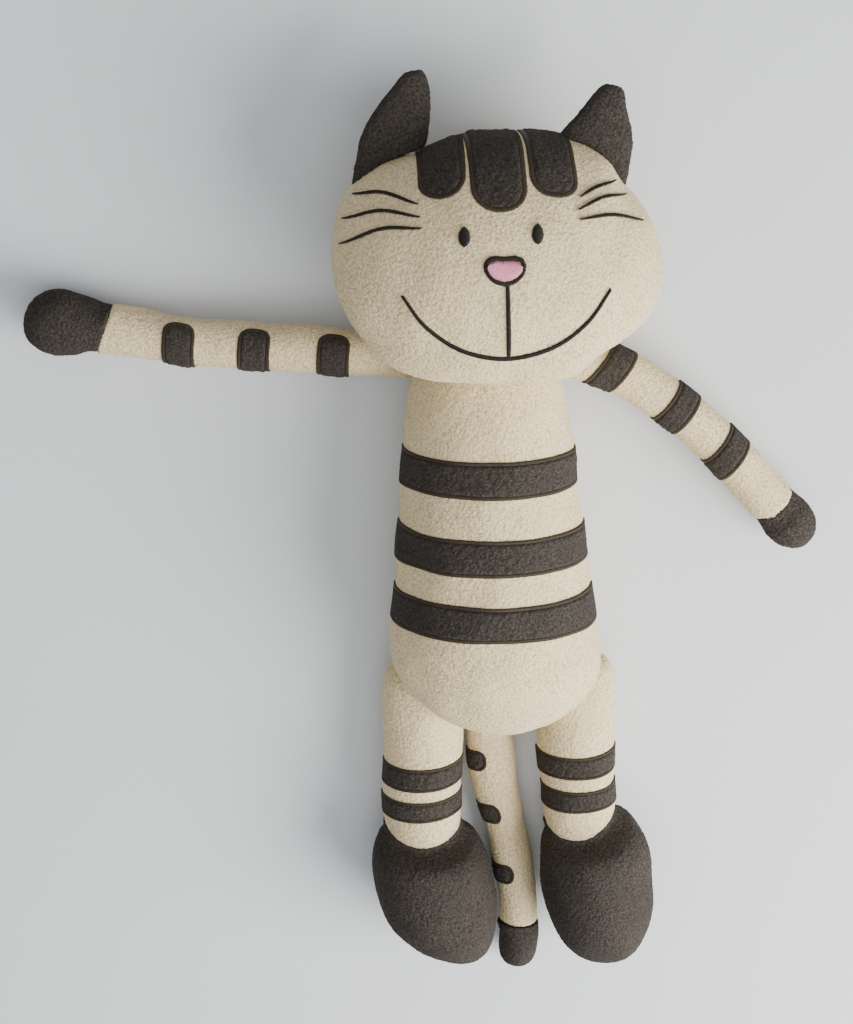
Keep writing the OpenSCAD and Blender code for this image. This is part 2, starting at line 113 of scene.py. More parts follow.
class Nodes:
    """A material's node tree, with short calls to add nodes and link them."""

    def __init__(self, name):
        self.material = bpy.data.materials.new(name)
        self.material.use_nodes = True
        self.tree = self.material.node_tree
        self.shader = self.tree.nodes["Principled BSDF"]
        self.coords = self.add("ShaderNodeTexCoord").outputs["Object"]

    def add(self, kind, **values):
        node = self.tree.nodes.new(kind)
        for key, value in values.items():
            if hasattr(node, key):
                setattr(node, key, value)
            else:
                node.inputs[key.replace("_", " ")].default_value = value
        return node

    def link(self, a, b):
        self.tree.links.new(a, b)

    def noise(self, scale, detail=2.0, rough=0.5):
        node = self.add("ShaderNodeTexNoise", Scale=scale, Detail=detail, Roughness=rough)
        self.link(self.coords, node.inputs["Vector"])
        return node.outputs["Fac"]

    def cells(self, scale):
        node = self.add("ShaderNodeTexVoronoi", Scale=scale)
        self.link(self.coords, node.inputs["Vector"])
        return node.outputs["Distance"]

    def ramp(self, value, stops):
        node = self.add("ShaderNodeValToRGB")
        bar = node.color_ramp
        for i, (at, colour) in enumerate(stops):
            stop = bar.elements[i] if i < 2 else bar.elements.new(at)
            stop.position = at
            stop.color = colour
        self.link(value, node.inputs["Fac"])
        return node.outputs["Color"]

    def mix(self, a, b, factor, mode="MIX"):
        node = self.add("ShaderNodeMixRGB", blend_type=mode)
        for socket, value in (("Fac", factor), ("Color1", a), ("Color2", b)):
            if isinstance(value, bpy.types.NodeSocket):
                self.link(value, node.inputs[socket])
            else:
                node.inputs[socket].default_value = value
        return node.outputs["Color"]

    def bump(self, height, distance, strength=1.0):
        node = self.add("ShaderNodeBump", Strength=strength, Distance=distance)
        self.link(height, node.inputs["Height"])
        self.link(node.outputs["Normal"], self.shader.inputs["Normal"])

    def finish(self, colour, rough, sheen=0.0, sheen_rough=0.5, sheen_tint=(1, 1, 1, 1)):
        s = self.shader.inputs
        self.link(colour, s["Base Color"])
        s["Roughness"].default_value = rough
        s["Sheen Weight"].default_value = sheen
        s["Sheen Roughness"].default_value = sheen_rough
        s["Sheen Tint"].default_value = sheen_tint
        s["Specular IOR Level"].default_value = 0.2
        return self.material


def terry(name, speck_and_loop_shade, body, tip, patchy, sheen):
    """Looped terry: loops about 1.2 mm apart, painted darker between them as shade, with slow patches of
    tone.
    """
    n = Nodes(name)
    loops = n.cells(880)
    fuzz = n.noise(1300, 3, 0.6)
    slow = n.noise(45, 3, 0.55)
    # painted shade: light at each loop's middle, darker towards its edge, as the shade between the loops; the
    # same darkest colour also gives the random speckle
    tone = n.ramp(loops, [(0.05, tip), (0.42, body), (0.85, speck_and_loop_shade)])
    speck = n.ramp(fuzz, [(0.33, speck_and_loop_shade), (0.5, body), (0.68, tip)])
    colour = n.mix(tone, speck, 0.5)
    colour = n.mix(colour, patchy, n.ramp(slow, [(0.42, (0, 0, 0, 1)), (0.72, (0.5, 0.5, 0.5, 1))]))
    relief = n.mix(n.ramp(loops, [(0.0, (1, 1, 1, 1)), (0.8, (0, 0, 0, 1))]), fuzz, 0.45)
    n.bump(relief, 0.0005, 0.8)
    return n.finish(colour, 0.95, sheen, 0.45, tip)


def thread_material(name, dark, light, rough, sheen):
    """Embroidery thread: fine strands along each stitch."""
    n = Nodes(name)
    strands = n.noise(2600, 2, 0.6)
    slow = n.noise(220, 2, 0.5)
    colour = n.mix(n.ramp(strands, [(0.35, dark), (0.65, light)]),
                   dark, n.ramp(slow, [(0.4, (0, 0, 0, 1)), (0.8, (0.4, 0.4, 0.4, 1))]))
    n.bump(strands, 0.0002, 0.6)
    return n.finish(colour, rough, sheen, 0.4, light)


def make_materials():
    # the darkest colour of each terry is painted shade between its loops, and also its random dark speckle
    return {
        "cream": terry("cream_terry_cloth", speck_and_loop_shade=srgb(160, 139, 105), body=srgb(217, 198, 157),
                       tip=srgb(240, 223, 186), patchy=srgb(206, 186, 145), sheen=0.2),
        "dark": terry("dark_terry_cloth", speck_and_loop_shade=srgb(29, 26, 23), body=srgb(56, 51, 46),
                      tip=srgb(80, 74, 68), patchy=srgb(48, 43, 40), sheen=0.15),
        "black": thread_material("black_embroidery_thread", dark=srgb(16, 15, 15), light=srgb(42, 40, 38),
                                 rough=0.55, sheen=0.1),
        "brown": thread_material("brown_border_thread", dark=srgb(42, 35, 26), light=srgb(68, 59, 45),
                                 rough=0.5, sheen=0.15),
        "pink": thread_material("pink_satin_thread", dark=srgb(206, 125, 150), light=srgb(238, 161, 183),
                                rough=0.4, sheen=0.2),
        "cream_thread": thread_material("cream_sewing_thread", dark=srgb(176, 162, 140),
                                        light=srgb(214, 203, 183), rough=0.6, sheen=0.1),
    }


FLOOR_LEVEL = -0.0006    # just under the pile of the toy's back


def make_floor():
    half = 8.0
    corners = [(-half, -half, 0), (half, -half, 0), (half, half, 0), (-half, half, 0)]
    mesh = bpy.data.meshes.new("floor")
    mesh.from_pydata(corners, [], [(0, 1, 2, 3)])
    floor = bpy.data.objects.new("floor", mesh)
    floor.location.z = FLOOR_LEVEL
    SCENE.collection.objects.link(floor)
    n = Nodes("pale_board")
    colour = n.ramp(n.noise(3, 2, 0.5), [(0.3, srgb(206, 209, 212)), (0.7, srgb(212, 215, 218))])
    floor.data.materials.append(n.finish(colour, 0.8))


# ---------------------------------------------------------------- mesh helpers

def node_points(*nodes):
    return np.concatenate([np.array([v.co for v in frame["nodes"][n].data.vertices], float) for n in nodes])


def points_of(obj):
    co = np.zeros(len(obj.data.vertices) * 3)
    obj.data.vertices.foreach_get("co", co)
    return co.reshape(-1, 3)


def normals_of(obj):
    no = np.zeros(len(obj.data.vertices) * 3)
    obj.data.vertices.foreach_get("normal", no)
    return no.reshape(-1, 3)


def set_points(obj, co):
    obj.data.vertices.foreach_set("co", np.ascontiguousarray(co, float).ravel())
    obj.data.update()


def object_from(bm, name):
    mesh = bpy.data.meshes.new(name)
    bm.to_mesh(mesh)
    bm.free()
    obj = bpy.data.objects.new(name, mesh)
    SCENE.collection.objects.link(obj)
    return obj


def make_object(name, verts, faces):
    mesh = bpy.data.meshes.new("draft")
    mesh.from_pydata([tuple(v) for v in verts], [], [tuple(int(i) for i in f) for f in faces])
    bm = bmesh.new()
    bm.from_mesh(mesh)
    bpy.data.meshes.remove(mesh)
    bmesh.ops.recalc_face_normals(bm, faces=bm.faces)
    return object_from(bm, name)


def bake(obj):
    """Applies every modifier."""
    deps = bpy.context.evaluated_depsgraph_get()
    mesh = bpy.data.meshes.new_from_object(obj.evaluated_get(deps))
    old = obj.data
    obj.modifiers.clear()
    obj.data = mesh
    bpy.data.meshes.remove(old)


def modified(obj, kind, **values):
    mod = obj.modifiers.new(kind.lower(), kind)
    for key, value in values.items():
        setattr(mod, key, value)
    bake(obj)


def hull(name, *nodes):
    """The convex outline of some CAD nodes as a new object."""
    bm = bmesh.new()
    for p in node_points(*nodes):
        bm.verts.new(p)
    bmesh.ops.convex_hull(bm, input=bm.verts)
    loose = [v for v in bm.verts if not v.link_faces]
    bmesh.ops.delete(bm, geom=loose, context="VERTS")
    return object_from(bm, name)


def union(name, cover, filling, grow):
    """A cover with its filling, as one mesh for the remesher. The filling grows to touch the cover."""
    bm = bmesh.new()
    for node in cover:
        bm.from_mesh(frame["nodes"][node].data)
    for node in filling:
        part = bmesh.new()
        part.from_mesh(frame["nodes"][node].data)
        bmesh.ops.remove_doubles(part, verts=part.verts, dist=SAME_POINT)
        part.normal_update()
        for v in part.verts:
            v.co += v.normal * grow
        mesh = bpy.data.meshes.new("part")
        part.to_mesh(mesh)
        part.free()
        bm.from_mesh(mesh)
        bpy.data.meshes.remove(mesh)
    bmesh.ops.remove_doubles(bm, verts=bm.verts, dist=SAME_POINT)
    return object_from(bm, name)


def islands(bm):
    """The vertices of each connected piece of a mesh, one list a piece."""
    left, found = set(bm.verts), []
    while left:
        seed = left.pop()
        part, queue = [seed], [seed]
        while queue:
            for e in queue.pop().link_edges:
                for v in e.verts:
                    if v in left:
                        left.discard(v)
                        part.append(v)
                        queue.append(v)
        found.append(part)
    return found


def keep_outer(obj):
    """Drops closed bits inside the skin that a remesh leaves."""
    bm = bmesh.new()
    bm.from_mesh(obj.data)
    for part in sorted(islands(bm), key=len)[:-1]:
        bmesh.ops.delete(bm, geom=part, context="VERTS")
    bm.to_mesh(obj.data)
    bm.free()


def remeshed(obj, voxel, smoothing):
    modified(obj, "REMESH", mode="VOXEL", voxel_size=voxel)
    keep_outer(obj)
    modified(obj, "SMOOTH", factor=0.5, iterations=smoothing)
    return obj


def fine(obj, levels):
    modified(obj, "SUBSURF", levels=levels, render_levels=levels)
    obj.data.polygons.foreach_set("use_smooth", [True] * len(obj.data.polygons))


def slow_waves(co, seed, scale):
    """A smooth wave field about zero, size about one, from a few seeded plane waves."""
    rng = np.random.default_rng(seed)
    total = np.zeros(len(co))
    count = 14
    for _ in range(count):
        way = rng.normal(size=3)
        way /= np.linalg.norm(way)
        k = 2 * math.pi / (scale * rng.uniform(0.7, 1.6))
        total += np.sin(co @ way * k + rng.uniform(0, 2 * math.pi))
    return total / math.sqrt(count / 2)


def lumpy(obj, seed, high, scale):
    """The slow unevenness of a stuffed skin."""
    co, no = points_of(obj), normals_of(obj)
    set_points(obj, co + no * (slow_waves(co, seed, scale) * high)[:, None])


def pile(obj, loop, seed):
    """Terry loops as real relief: each vertex stands up or down by up to about loop."""
    co, no = points_of(obj), normals_of(obj)
    rng = np.random.default_rng(seed)
    high = rng.normal(size=len(co)) * 0.45 + slow_waves(co, seed + 1, 0.0018) * 0.25
    high = np.clip(high, -1.1, 1.4) * loop
    side = rng.normal(size=co.shape) * loop * 0.16
    set_points(obj, co + no * high[:, None] + side)


make_camera()
make_light()
make_floor()
MATERIALS = make_materials()
SMOOTH = {}    # the smooth skins, before their pile, for placing patches and stitches

# each finish: the material here and its slot in the record
CREAM, DARK = ("cream", "cream_terry"), ("dark", "dark_terry")
BLACK, PINK = ("black", "black_thread"), ("pink", "pink_satin")
BORDER, SEWING = ("brown", "sewing_thread"), ("cream_thread", "sewing_thread")


def dressed(obj, finish):
    material, slot = finish
    obj.data.materials.clear()
    obj.data.materials.append(MATERIALS[material])
    obj.data.polygons.foreach_set("use_smooth", [True] * len(obj.data.polygons))


# ---------------------------------------------------------------- skins

GROW = 0.001    # brings the stuffing out to its cover, in metres


def joint_at(name):
    return np.array(JOINTS[name]["pos_m"], float)


def unit(v):
    v = np.array(v, float)
    return v / np.linalg.norm(v)


def smoothstep(a, b, x):
    t = np.clip((x - a) / (b - a), 0, 1)
    return t * t * (3 - 2 * t)


def push(obj, centre, reach, move):
    """Moves the skin round a point, like a thumb pressed into it. Everything in mm."""
    co = points_of(obj)
    d2 = (((co - np.array(centre) * MM) / (np.array(reach) * MM)) ** 2).sum(axis=1)
    set_points(obj, co + np.exp(-d2)[:, None] * np.array(move) * MM)


def lengthen(obj, origin, way, start, more):
    """Draws out a limb's end: what lies past start along way moves on, by up to more."""
    co = points_of(obj)
    s = (co - origin) @ way
    t = np.clip((s - start) / max(s.max() - start, 1e-6), 0, 1)
    set_points(obj, co + (t * more)[:, None] * way)


class Seam:
    """The line where a limb's cover ends on the next piece's. Seen from origin along the limb it lies,
    in mm: at sides on both sides, front further on in front, and slant further on at one side."""

    def __init__(self, origin, way, sides, front, slant):
        self.origin, self.way = origin, way
        up = np.array((0, 0, 1.0))
        self.up = unit(up - (up @ way) * way)
        self.side = np.cross(self.up, way)
        self.line = (sides, front, slant)

    def split(self, co):
        """Of each point: how far past the seam it lies, its distance from the limb's middle line,
        the direction of that distance, and its angle."""
        d = co - self.origin
        along = d @ self.way
        across = d - along[:, None] * self.way
        r = np.linalg.norm(across, axis=1) + 1e-9
        out = across / r[:, None]
        angle = np.arctan2(out @ self.up, out @ self.side)
        return along - self.place(angle), r, out, angle

    def place(self, angle):
        sides, front, slant = self.line
        return (sides + front * np.clip(np.sin(angle), 0, 1) + slant * np.cos(angle)) * MM

    def rim(self, limb, band):
        """The limb's radius at the seam, as a function of the angle."""
        past, r, _, angle = self.split(points_of(limb))
        near = np.abs(past) < band
        turn = 2 * math.pi
        sectors = np.arange(24)
        mids = (sectors + 0.5) / len(sectors) * turn - math.pi
        reach = 0.16    # a little over half a sector, so that neighbours overlap
        wide = []
        for m in mids:
            there = r[near & (np.abs((angle - m + math.pi) % turn - math.pi) < reach)]
            outer = there > 0.8 * there.max()
            wide.append(there[outer].mean())
        return lambda a: np.interp(a, mids, wide, period=turn)


def flared(foot, limb, seam, slope):
    """Lets a foot widen from the ankle no faster than a curve, steeper over the instep."""
    co = points_of(foot)
    past, r, out, angle = seam.split(co)
    steep = slope * (1 + 0.7 * np.clip(np.sin(angle), 0, 1))
    rise = steep * (np.clip(past, 0, 1) / MM) ** 0.75
    most = seam.rim(limb, 0.002)(angle) + (0.4 + rise) * MM
    soft = 0.0016    # rounds the edge where the limit takes over
    least = np.minimum(r, most) - soft * np.log1p(np.exp(-np.abs(r - most) / soft))
    set_points(foot, co + out * (least - r)[:, None])


def sewn(limb, end, seam, blend):
    """Joins a limb's skin and the next piece's at their seam: both turn in there, with equal radii.
    The next piece goes back to its own shape by blend past the seam."""
    turn_in, depth, start = 0.3, 0.0018, -0.0004
    rim = seam.rim(limb, 0.0007)
    co = points_of(limb)
    past, r, out, angle = seam.split(co)
    edge = rim(angle) * (1 - turn_in * smoothstep(start, depth, past))
    wanted = np.where(past > start, np.minimum(r, edge), r)
    set_points(limb, co + out * (wanted - r)[:, None])

    co = points_of(end)
    past, r, out, angle = seam.split(co)
    wide = rim(angle)
    proud = 0.0004 * smoothstep(-0.0003, 0.001, past)
    edge = wide * (1 - turn_in * smoothstep(0, depth, -past)) + proud
    near = (1 - smoothstep(0.0008, blend, past)) * smoothstep(0.5, 0.75, r / wide)
    wanted = np.where(past < 0, np.minimum(r, edge), r + (edge - r) * near)
    set_points(end, co + out * (wanted - r)[:, None])


SWELL_FRAMES = 16


def hold_side_seam(obj):
    """A vertex group of the points round the side of a skin, half-way up it."""
    co, no = points_of(obj), normals_of(obj)
    low, high = co[:, 2].min(), co[:, 2].max()
    band = 0.04 * (high - low) + 0.0008
    faces_side = np.abs(no[:, 2]) < 0.35
    near = np.exp(-((co[:, 2] - (high + low) / 2) / band) ** 2) * faces_side
    held = obj.vertex_groups.new(name="seam")
    for i in np.nonzero(near > 0.3)[0]:
        held.add([int(i)], float(near[i]), "REPLACE")


def inflate(objs, caps):
    """Swells every skin a little with the cloth simulation, its side seam held.
    Each starts a little smaller, and no point ends further than its cap from where it was."""
    smaller = 0.6    # of the cap
    rest = [points_of(o) for o in objs]
    for o, cap in zip(objs, caps):
        hold_side_seam(o)
        set_points(o, points_of(o) - normals_of(o) * cap * smaller)
        mod = o.modifiers.new("cloth", "CLOTH")
        st = mod.settings
        st.quality = 4
        st.mass = 0.3
        st.tension_stiffness = 12
        st.compression_stiffness = 6
        st.shear_stiffness = 4
        st.bending_stiffness = 0.3
        st.use_pressure = True
        st.uniform_pressure_force = 5
        st.effector_weights.gravity = 0
        st.vertex_group_mass = "seam"
        st.pin_stiffness = 1
        mod.collision_settings.use_collision = False
        mod.point_cache.frame_start = 1
        mod.point_cache.frame_end = SWELL_FRAMES
    for f in range(1, SWELL_FRAMES + 1):
        SCENE.frame_set(f)
    for o, before, cap in zip(objs, rest, caps):
        bake(o)
        o.vertex_groups.clear()
        move = points_of(o) - before
        size = np.linalg.norm(move, axis=1) + 1e-12
        move *= (np.minimum(size, cap) / size)[:, None]
        set_points(o, before + move)
        modified(o, "SMOOTH", factor=0.5, iterations=2)
    SCENE.frame_set(1)


Skin = namedtuple("Skin", "name body finish nodes draft voxel smoothing levels swell")


def limb_skins(side):
    """One side's arm, paw, leg and foot, each over its CAD cover and stuffing, and its ear."""
    skins = []
    for part, finish, cover, hulled, voxel, smoothing, swell in (
            ("arm", CREAM, "sleeve", False, 0.0016, 8, 0.0004),
            ("paw", DARK, "cover", True, 0.0016, 8, 0.0004),
            ("leg", CREAM, "sleeve", True, 0.0022, 8, 0.0004),
            ("foot", DARK, "cover", True, 0.0024, 10, 0.0008)):
        name = f"{part}_{side}"
        nodes = [f"{name}_{cover}", f"{name}_stuffing"]
        draft = hull(name, nodes[0]) if hulled else union(name, nodes[:1], nodes[1:], GROW)
        skins.append(Skin(name, name, finish, nodes, draft, voxel, smoothing, 2, swell))
    name = f"ear_{side}"
    nodes = [f"{name}_front", f"{name}_back"]
    skins.append(Skin(name, name, DARK, nodes, union(name, nodes, [], 0), 0.0011, 16, 1, 0.0003))
    return skins


def all_skins():
    skins = []
    for name, smoothing in (("torso", 14), ("head", 12)):
        panels = [f"{name}_front_panel", f"{name}_back_panel"]
        skins.append(Skin(name, name, CREAM, panels + [f"{name}_stuffing"], hull(name, *panels),
                          0.0026, smoothing, 2, 0.0008))
    skins += limb_skins("left") + limb_skins("right")
    skins.append(Skin("tail", "tail", CREAM, ["tail_sleeve", "tail_stuffing"],
                      union("tail", ["tail_sleeve"], ["tail_stuffing"], GROW), 0.0016, 8, 2, 0.0004))
    skins.append(Skin("tail_tip", "tail", DARK, ["tail_tip_cover", "tail_tip_stuffing"],
                      hull("tail_tip", "tail_tip_cover"), 0.0014, 8, 2, 0.0003))
    return skins


def middle_of(*nodes):
    return node_points(*nodes).mean(axis=0)


LIMB = {}    # the direction of each limb, by body
for side in ("left", "right"):
    shoulder, wrist = joint_at(f"shoulder_{side}_swing"), joint_at(f"wrist_{side}_bend")
    hip, ankle = joint_at(f"hip_{side}_lift"), joint_at(f"ankle_{side}_flex")
    LIMB[f"arm_{side}"] = unit(wrist - shoulder)
    LIMB[f"paw_{side}"] = unit(middle_of(f"paw_{side}_cover") - wrist)
    LIMB[f"leg_{side}"] = unit(ankle - hip)
    LIMB[f"foot_{side}"] = unit((0, -1, 0))


def blend_at(obj):
    """Bakes a piece's placement into its mesh."""
    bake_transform(obj)


SKINS = all_skins()
OBJ = {skin.name: remeshed(skin.draft, skin.voxel, skin.smoothing) for skin in SKINS}

# the ears' bases run into the head, and the arms' ends reach the paws
EAR_BASE, EAR_MORE = 0.009, 0.007
for side, arm_more in (("left", 0.014), ("right", 0.017)):
    pivot = joint_at(f"ear_{side}_fold")
    into = np.cross(JOINTS[f"ear_{side}_fold"]["axis"], (0, 0, 1.0))
    into = unit(into if into[1] < 0 else -into)
    lengthen(OBJ[f"ear_{side}"], pivot, into, start=-EAR_BASE, more=EAR_MORE)
    lengthen(OBJ[f"arm_{side}"], joint_at(f"wrist_{side}_bend"), LIMB[f"paw_{side}"],
             start=-0.016, more=arm_more)
lengthen(OBJ["paw_right"], joint_at("wrist_right_bend"), LIMB["paw_right"], start=0.004, more=0.002)

# where the skins are fuller or slimmer than the CAD's: skin, centre, reach and move, in mm
PRESSES = (("head", (-29, 149, 43), (14, 16, 40), (1, -5, 0)),
           ("head", (46, 64, 48), (16, 16, 30), (-4.5, 4.5, 0)),
           ("head", (6, 50, 45), (38, 9, 30), (0, 4.4, 0)),
           ("head", (52, 130, 45), (10, 14, 35), (-2.5, -1.5, 0)),
           ("head", (-56, 126, 45), (10, 10, 35), (-2, 1, 0)),
           ("head", (0, 153, 43), (42, 10, 40), (0, -1.5, 0)),
           ("ear_left", (-21, 150, 43), (9, 12, 20), (-4, 0, 0)),
           ("ear_left", (-54, 132, 43), (8, 9, 20), (-2.2, -6, 0)),
           ("ear_left", (-46, 160, 43), (7, 13, 20), (-0.8, 0, 0)),
           ("ear_left", (-30, 177, 43), (12, 9, 20), (0, 1.4, 0)),
           ("ear_right", (28, 160, 43), (8, 12, 20), (2.8, -0.5, 0)),
           ("ear_right", (39, 171, 43), (9, 9, 20), (2.2, 1, 0)),
           ("ear_right", (49, 136, 43), (8, 8, 20), (0, -3, 0)),
           ("ear_right", (47, 167, 43), (4, 4.5, 20), (1.4, 0.8, 0)),
           ("ear_right", (42, 173, 43), (3.5, 3, 20), (0, -1.4, 0)),
           ("torso", (47, -68, 30), (14, 18, 40), (2.5, -2, 0)),
           ("torso", (-46, -68, 30), (14, 18, 40), (-2.5, -2, 0)),
           ("leg_left", (-43, -110, 20), (14, 70, 30), (-2.2, 0, 0)),
           ("leg_left", (-11.5, -115, 20), (10, 50, 30), (1, 0, 0)),
           ("leg_left", (-42, -74, 20), (12, 12, 30), (-1, 4, 0)),
           ("leg_right", (20, -104, 20), (12, 16, 30), (-2.5, 0, 0)),
           ("leg_right", (50, -72, 20), (12, 12, 30), (1, 4, 0)),
           ("tail", (-6, -114, 10), (8, 32, 14), (-2.8, 0, 0)),
           ("tail", (9, -180, 10), (6, 12, 14), (1, 0, 0)),
           ("tail_tip", (9, -192, 10), (6, 12, 14), (1.4, 0, 0)))
for name, centre, reach, move in PRESSES:
    push(OBJ[name], centre, reach, move)

tip = node_points("tail_tip_cover")
tip_start = tip[tip[:, 1] > tip[:, 1].max() - 0.001].mean(axis=0)
tip_way = unit(tip.mean(axis=0) - tip_start)


def limb_seam(joint, sides, front, slant):
    return Seam(joint_at(joint), LIMB[JOINTS[joint]["child"]], sides, front, slant)


SEAMS = {("arm_left", "paw_left"): limb_seam("wrist_left_bend", -1.2, 0.3, 2.2),
         ("arm_right", "paw_right"): limb_seam("wrist_right_bend", 1.5, 3, 0.3),
         ("leg_left", "foot_left"): limb_seam("ankle_left_flex", 2, 7, 0),
         ("leg_right", "foot_right"): limb_seam("ankle_right_flex", -0.5, 8, -2.2),
         ("tail", "tail_tip"): Seam(tip_start, tip_way, -0.8, 0.4, -0.4)}

# each leg runs on into its foot, and the foot is drawn up to the leg and narrows towards it
for side, rise, slope in (("left", 0.008, 1.9), ("right", 0.012, 2.1)):
    leg, foot = OBJ[f"leg_{side}"], OBJ[f"foot_{side}"]
    seam = SEAMS[(f"leg_{side}", f"foot_{side}")]
    lengthen(leg, seam.origin, seam.way, start=-0.014, more=0.012)
    lengthen(foot, seam.origin, -seam.way, start=-0.03, more=rise)
    flared(foot, leg, seam, slope)
    remeshed(foot, voxel=0.0022, smoothing=12)
push(OBJ["foot_left"], (-20, -200, 24), (26, 22, 40), (5, 0, 0))
lengthen(OBJ["tail"], tip_start, tip_way, start=-0.01, more=0.007)

inflate([OBJ[skin.name] for skin in SKINS], [skin.swell for skin in SKINS])

for skin in SKINS:
    fine(OBJ[skin.name], skin.levels)
for (limb, end), seam in SEAMS.items():
    sewn(OBJ[limb], OBJ[end], seam, blend=0.009 if end.startswith("paw") else 0.006)

for i, skin in enumerate(SKINS):
    obj = OBJ[skin.name]
    lumpy(obj, seed=10 * i + 13, high=0.0001 if skin.name.startswith("ear") else 0.00025, scale=0.021)
    SMOOTH[skin.name] = BVHTree.FromPolygons([tuple(p) for p in points_of(obj)],
                                             [tuple(p.vertices) for p in obj.data.polygons])
    pile(obj, loop=0.00015 if skin.finish is CREAM else 0.0002, seed=10 * i + 11)
    dressed(obj, skin.finish)
    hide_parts(*skin.nodes)
    part, _, side = skin.name.partition("_")
    if part in ("arm", "paw"):
        blend_at(obj)
    elif part in ("leg", "foot"):
        blend_at(obj)
    else:
        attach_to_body(obj, skin.body)


# ---------------------------------------------------------------- where things lie on the skins

def cast(skin, start, way):
    """Where a ray meets a skin, and the skin's normal there.
    A ray that slips between two faces is tried again beside."""
    for nudge in (0.0, 1e-5, -1e-5, 3e-5, -3e-5):
        hit, normal, _, _ = SMOOTH[skin].ray_cast(Vector(start) + Vector((nudge, nudge, nudge)), Vector(way))
        if hit is not None:
            return np.array(hit), np.array(normal)
    raise ValueError(f"nothing of {skin} at {tuple(start)}")


class Round:
    """Places on a limb or the body: s along it in mm from origin, a the angle round it, 90 in front."""

    def __init__(self, skin, origin, way):
        self.skin, self.origin, self.way = skin, np.array(origin, float), unit(way)
        up = np.array((0, 0, 1.0))
        self.up = unit(up - (up @ self.way) * self.way)
        self.side = np.cross(self.up, self.way)
        self.pts = points_of(OBJ[skin])
        self.along = (self.pts - self.origin) @ self.way
        self.centres = {}

    def centre(self, s):
        """The middle of the limb at a whole number of mm along it."""
        if s not in self.centres:
            near = self.pts[np.abs(self.along - s * MM) < 0.0015]
            self.centres[s] = (near.max(axis=0) + near.min(axis=0)) / 2
        return self.centres[s]

    def at(self, s, a):
        low = math.floor(s)
        c = self.centre(low) * (1 - (s - low)) + self.centre(low + 1) * (s - low)
        c = c + self.way * (s * MM - (c - self.origin) @ self.way)
        a = math.radians(a)
        ray = self.side * math.cos(a) + self.up * math.sin(a)
        return cast(self.skin, c, ray)


class Front:
    """Places on the face: x and y in mm, seen from straight above."""
    MIDDLE = 105    # the face's middle, along y
    ABOVE = 0.3     # where the rays start, clear of the toy

    def __init__(self, skin):
        self.skin = skin

    def at(self, x, y):
        shrink = 0.985
        for _ in range(20):    # a stitch past the outline is drawn in to it
            try:
                return cast(self.skin, (x * MM, y * MM, self.ABOVE), (0, 0, -1))
            except ValueError:
                x, y = x * shrink, self.MIDDLE + (y - self.MIDDLE) * shrink
        raise ValueError("no face here")


class Crown:
    """Places over the top of the head: x in mm, a the angle from the face towards the back."""

    def __init__(self, skin, y, z):
        self.skin, self.y, self.z = skin, y, z

    def at(self, x, a):
        a = math.radians(a)
        return cast(self.skin, (x * MM, self.y * MM, self.z * MM), (0, math.sin(a), math.cos(a)))


# ---------------------------------------------------------------- appliques and stitches

def outline(half_long, half_wide, r0, r1, step):
    """Points round a rounded rectangle in mm. r0 and r1 are the corner radii at its start and end."""
    pts, steps = [], 8
    for end, side, r, start in ((1, 1, r1, 0), (-1, 1, r0, 90), (-1, -1, r0, 180), (1, -1, r1, 270)):
        cx, cy = end * (half_long - r), side * (half_wide - r)
        for k in range(steps + 1):
            a = math.radians(start + 90 * k / steps)
            pts.append((cx + r * math.cos(a), cy + r * math.sin(a)))
    return resampled(np.array(pts + pts[:1]), step)[:-1]


def resampled(pts, step):
    """The same line with points a given step apart."""
    run = np.concatenate([[0], np.cumsum(np.linalg.norm(np.diff(pts, axis=0), axis=1))])
    n = max(2, int(round(run[-1] / step)))
    at = np.linspace(0, run[-1], n + 1)
    return np.stack([np.interp(at, run, pts[:, k]) for k in range(pts.shape[1])], axis=1)


def smooth_line(pts, n=12):
    """A Catmull-Rom line through the points."""
    pts = np.array(pts, float)
    p = np.concatenate([[2 * pts[0] - pts[1]], pts, [2 * pts[-1] - pts[-2]]])
    out = []
    for i in range(1, len(p) - 2):
        for t in np.linspace(0, 1, n, endpoint=False):
            out.append(0.5 * (2 * p[i] + (p[i + 1] - p[i - 1]) * t
                              + (2 * p[i - 1] - 5 * p[i] + 4 * p[i + 1] - p[i + 2]) * t * t
                              + (3 * p[i] - p[i - 1] - 3 * p[i + 1] + p[i + 2]) * t ** 3))
    out.append(p[-2])
    return np.array(out)


